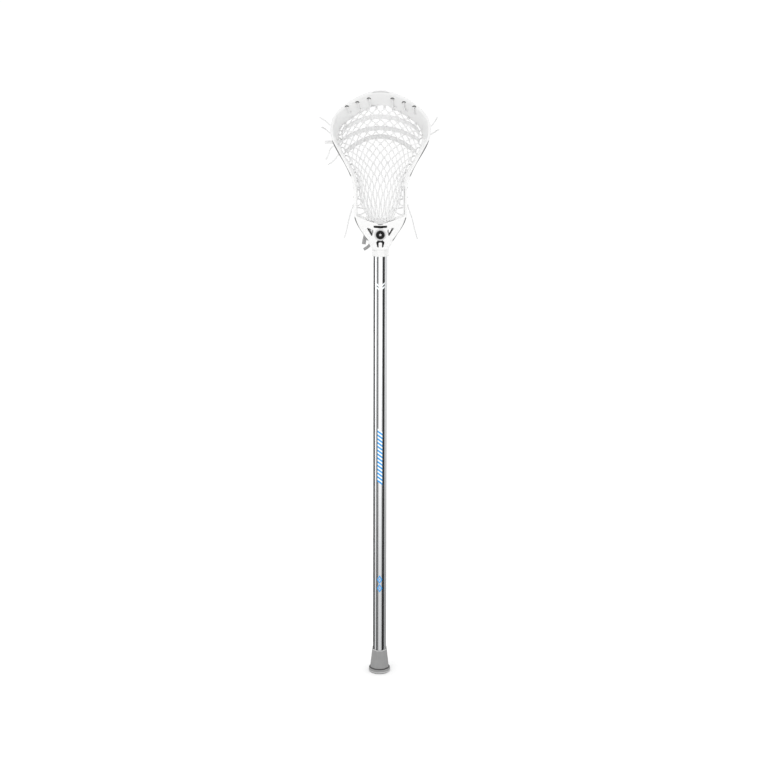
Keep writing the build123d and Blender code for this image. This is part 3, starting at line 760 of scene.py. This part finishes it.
for name, (width, node, slot, route) in flatTails.items():
    guide = curveThrough("guide", [[Vector(p) * mm for p in route]], 0.0)
    line = bareLine(guide)
    bpy.data.objects.remove(guide)

    def tailPlace(s, t, line=line, width=width):
        where = (s + 1) / 2 * (len(line) - 1)
        i = min(int(where), len(line) - 2)
        spot = line[i].lerp(line[i + 1], where - i)
        ahead = (line[i + 1] - line[i]).normalized()
        sideways = ahead.cross(Vector((0, 1, 0))).normalized()
        return spot + sideways * (t * width / 2 * mm)

    tail = ribbon(name, tailPlace, tailShape["steps"], laceShape["thickness"], tailShape["across"])
    dress(tail, tailCloth[slot], "stick", slot, node)
    tuple(line[0])
    round(lengthOf(line), 4)
    width * mm
    [tuple(p) for p in line]
print("lace ends done")

# Floor, light and camera.
studio = {
    "floor": 0.90, "floorSize": 600, "dome": 1.17, "horizon": (0.02, 0.35), "low": (-0.41, -0.20, 0.42, 1.0),
    "lens": 84.5, "eye": (-0.0009, -2.898, 1.306), "tilt": 75.0, "roll": 0.11, "aim": (0, 0, 0.7),
    "lights": [("keyLight", (-1.4, -1.8, 2.6), 1.2, 12.0), ("fillLight", (1.8, -1.2, 1.6), 1.4, 4.2)],
    # Each soft panel's strength, and the angles from the front where it fades in and out.
    "front": (1.75, (6.0, 13.0)), "back": (1.4, (156.0, 168.0)), "rest": 0.07,
    "right": (0.95, (77.0, 84.0), (87.0, 92.0)), "left": (1.9, (-101.0, -95.0), (-90.0, -85.0)),
    "corners": (0.65, (13.0, 24.0), (66.0, 78.0)), "rear": (0.8, (100.0, 112.0), (156.0, 166.0)),
}


def softPanel(turn, name):
    strength, rise, fall = studio[name]
    return turn.ramp(*rise) * (1 - turn.ramp(*fall)) * strength


def paintFloor(sheet):
    cloud = sheet.noise(1.5, 2.0)
    return {"Base Color": sheet.blend(cloud, grey(studio["floor"]), grey(studio["floor"] - 0.01)), "Roughness": 0.9}


bpy.ops.object.select_all(action="DESELECT")
bpy.ops.mesh.primitive_plane_add(size=studio["floorSize"])
floor = bpy.context.object
floor.name = "floor"
floor.data.materials.append(makeMaterial("paleFloor", paintFloor, {"Specular IOR Level": 0.0}))
floor.visible_glossy = False

world = bpy.data.worlds.new("studio")
bpy.context.scene.world = world
world.use_nodes = True
sky = Sheet(world.node_tree)
ray = sky.node("ShaderNodeSeparateXYZ", {}, {0: sky.node("ShaderNodeTexCoord", out="Generated")})
x, y, z = ray, ray.out("Y"), ray.out("Z")
turn = sky.angle(x, y * -1.0) * (180 / math.pi)  # degrees from the front, towards +X
wide = abs(turn)
# Upright soft panels round the stick, which its polished faces mirror.
frontStrength, frontFade = studio["front"]
backStrength, backFade = studio["back"]
glow = (1 - abs(turn + 1.0).ramp(*frontFade)) * frontStrength
glow = glow + softPanel(turn, "right") + softPanel(turn, "left") + studio["rest"]
glow = glow + softPanel(wide, "corners") + softPanel(wide, "rear") + wide.ramp(*backFade) * backStrength
level = glow * z.ramp(*studio["low"])  # dimmer towards the floor
overhead = z.ramp(*studio["horizon"])
value = level * (1 - overhead) + overhead * studio["dome"]
tint = sky.node("ShaderNodeCombineColor", {}, {0: value, 1: value, 2: value})
backdrop = sky.node("ShaderNodeBackground", {}, {"Color": tint, "Strength": 1.0})
sky.node("ShaderNodeOutputWorld", {}, {"Surface": backdrop})

for label, place, size, energy in studio["lights"]:
    lamp = bpy.data.lights.new(label, "AREA")
    lamp.size, lamp.energy = size, energy
    item = bpy.data.objects.new(label, lamp)
    item.location = place
    item.rotation_euler = (Vector(studio["aim"]) - Vector(place)).to_track_quat("-Z", "Y").to_euler()
    bpy.context.scene.collection.objects.link(item)

cameraData = bpy.data.cameras.new("camera")
cameraData.lens, cameraData.sensor_width = studio["lens"], 36.0
camera = bpy.data.objects.new("camera", cameraData)
camera.location = studio["eye"]
turned = Matrix.Rotation(math.radians(studio["tilt"]), 3, "X") @ Matrix.Rotation(math.radians(studio["roll"]), 3, "Z")
camera.rotation_euler = turned.to_euler()
bpy.context.scene.collection.objects.link(camera)
bpy.context.scene.camera = camera
bpy.context.scene.view_settings.view_transform = "Standard"
print("studio ready")
